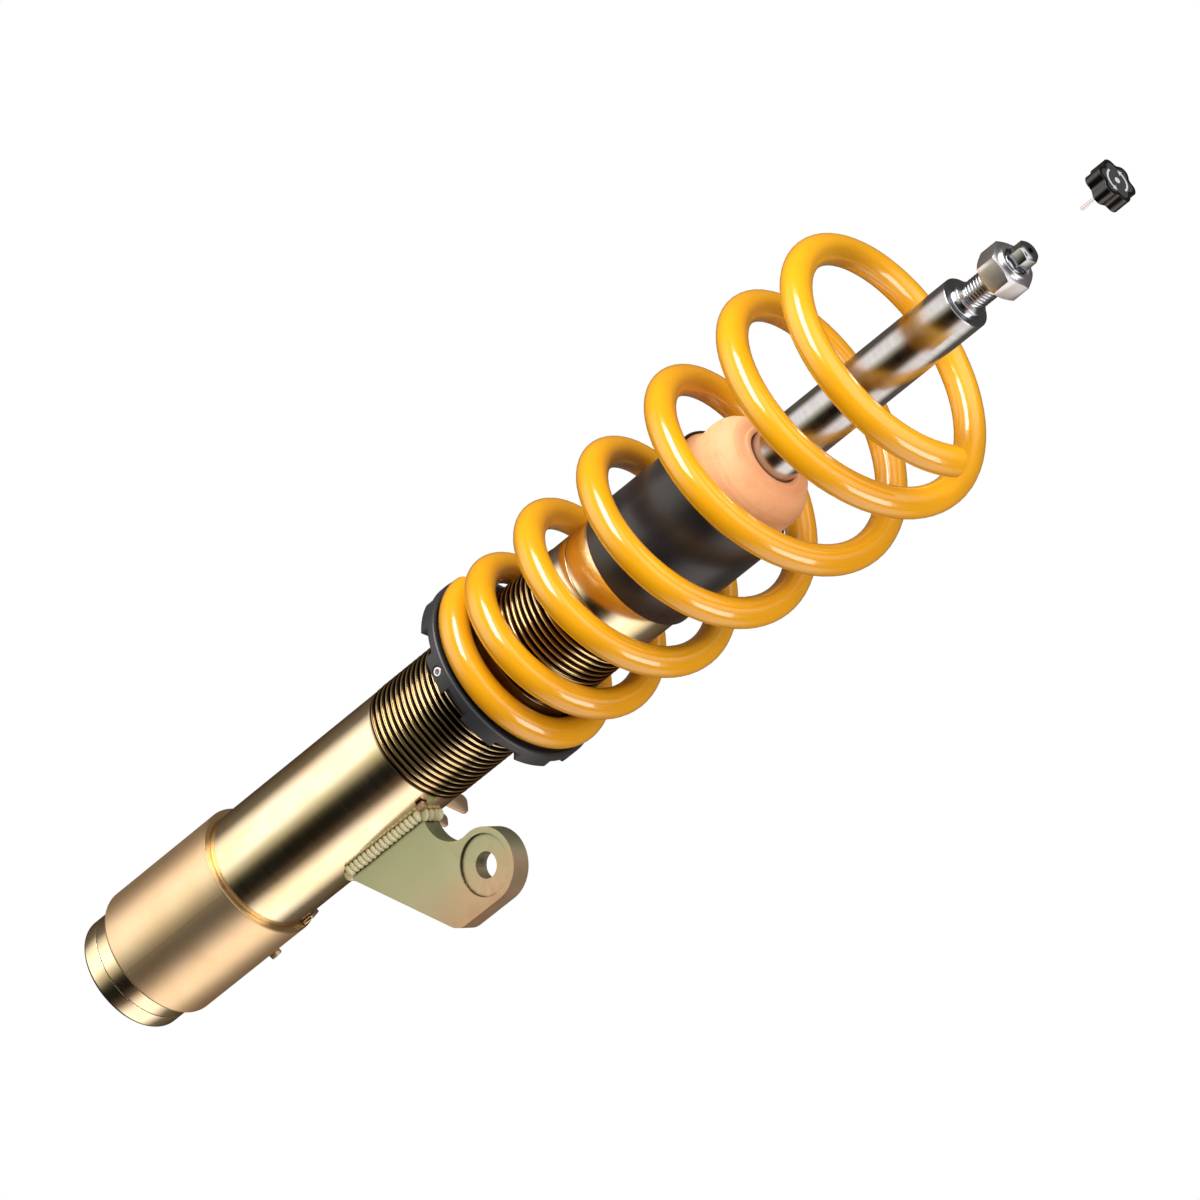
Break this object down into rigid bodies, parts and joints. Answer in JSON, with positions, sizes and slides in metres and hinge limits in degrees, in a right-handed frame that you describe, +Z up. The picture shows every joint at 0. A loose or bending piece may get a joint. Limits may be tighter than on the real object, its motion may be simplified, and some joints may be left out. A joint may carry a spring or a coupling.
{
  "type": "coilover strut",
  "caption": "Threaded damper strut with a height-adjustable conical coil spring, dust boot, bump stop, drop-link bracket and damping knob.",
  "frame": {"origin": "centre of the flat bottom face of the damper tube, on the strut axis", "axes": "+Z up the strut axis towards the rod's end, +X towards the drop-link eye, -Y out of the bracket face with the spot-faced eye that the picture shows"},
  "size_m": [0.1321, 0.1139, 0.5826],
  "materials": {
    "gold_zinc_tube": "drawn steel tube, bright yellow-zinc plated, glossy",
    "satin_gold_sleeve": "steel, yellow-zinc plated over a fine blasted finish, satin",
    "satin_gold_plate": "plate steel, yellow-zinc plated, satin with green to pink tints",
    "plated_weld": "weld bead, zinc plated",
    "bright_zinc": "machined steel, bright zinc plated",
    "seal_rubber": "moulded nitrile rubber",
    "guide_alloy": "turned aluminium",
    "bearing_bronze": "bronze with a low-friction lining",
    "plain_steel": "turned steel, oiled",
    "spring_steel": "blued spring-steel shims",
    "hard_chrome": "hard chrome, ground and polished",
    "black_anodised": "turned aluminium, black anodised, glossy",
    "amber_powder_coat": "spring steel wire, amber powder coat, high gloss",
    "black_composite": "glass-filled nylon, moulded, fine matt grain",
    "knob_plastic": "moulded ABS, gloss black",
    "boot_plastic": "moulded polypropylene, satin black",
    "cellular_foam": "cellular polyurethane, moulded skin"
  },
  "bodies": {
    "strut": {"strut_tube": "gold_zinc_tube", "bottom_cup": "gold_zinc_tube", "clamp_sleeve": "satin_gold_sleeve", "sleeve_pin": "satin_gold_plate", "index_tab": "gold_zinc_tube", "link_bracket": "satin_gold_plate", "bracket_weld_front": "plated_weld", "bracket_weld_back": "plated_weld", "bracket_weld_top": "plated_weld", "bracket_weld_bottom": "plated_weld", "hose_clip": "satin_gold_plate", "hose_clip_weld_left": "plated_weld", "hose_clip_weld_right": "plated_weld", "locating_lug": "satin_gold_plate", "gland_cap": "gold_zinc_tube", "wiper_seal": "seal_rubber", "rod_seal": "seal_rubber", "rod_guide": "guide_alloy", "guide_bush": "bearing_bronze", "inner_tube": "plain_steel", "base_valve": "guide_alloy", "base_valve_shims": "spring_steel", "base_valve_screw": "plain_steel"},
    "piston_slide": {"piston_band": "bearing_bronze"},
    "rod": {"piston_rod": "hard_chrome", "piston": "plain_steel", "backing_washer": "spring_steel", "compression_shims": "spring_steel", "rebound_shims": "spring_steel", "piston_nut": "plain_steel", "rebound_stop": "seal_rubber", "top_nut": "bright_zinc"},
    "needle": {"adjuster_needle": "plain_steel"},
    "knob": {"knob_stem": "bright_zinc", "adjuster_knob": "knob_plastic"},
    "lower_seat": {"spring_hub": "black_anodised", "coil_spring": "amber_powder_coat"},
    "collar": {"adjuster_collar": "black_composite"},
    "lock_screw": {"collar_lock_screw": "bright_zinc"},
    "spring_top": {"spring_end_coil": "amber_powder_coat"},
    "boot_and_stop": {"dust_boot": "boot_plastic", "bump_stop": "cellular_foam"}
  },
  "joints": [
    {"name": "rod_slide", "type": "slide", "parent": "strut", "child": "piston_slide", "axis": [0, 0, 1], "range_m": [-0.1, 0], "stiffness_N_per_m": 300, "springref_m": 0.6},
    {"name": "rod_spin", "type": "hinge", "parent": "piston_slide", "child": "rod", "pos_m": [0, 0, 0.24], "axis": [0, 0, 1], "continuous": true},
    {"name": "adjuster_turn", "type": "hinge", "parent": "rod", "child": "needle", "pos_m": [0, 0, 0.52], "axis": [0, 0, 1], "range_deg": [0, 720]},
    {"name": "knob_pull", "type": "slide", "parent": "needle", "child": "knob", "axis": [0, 0, 1], "range_m": [-0.0396, 0]},
    {"name": "collar_turn", "type": "hinge", "parent": "lower_seat", "child": "collar", "pos_m": [0, 0, 0.2325], "axis": [0, 0, 1], "range_deg": [-4321, 2881]},
    {"name": "perch_height", "type": "slide", "parent": "strut", "child": "lower_seat", "axis": [0, 0, 1], "range_m": [-0.036, 0.024]},
    {"name": "lock_screw_turn", "type": "hinge", "parent": "collar", "child": "lock_screw", "pos_m": [-0.00061, -0.03499, 0.23265], "axis": [-0.0175, -0.9998, 0], "range_deg": [0, 360]},
    {"name": "spring_compression", "type": "slide", "parent": "lower_seat", "child": "spring_top", "axis": [0, 0, 1], "range_m": [-0.1001, 0.0001], "deforming": ["coil_spring"]},
    {"name": "bump_stop_slide", "type": "slide", "parent": "strut", "child": "boot_and_stop", "axis": [0, 0, 1], "range_m": [0, 0.02]}
  ],
  "couplings": [
    {"joint": "collar_turn", "follows": "perch_height", "rad_per_m": 2094.4},
    {"joint": "spring_compression", "follows": "rod_slide", "ratio": 1}
  ]
}
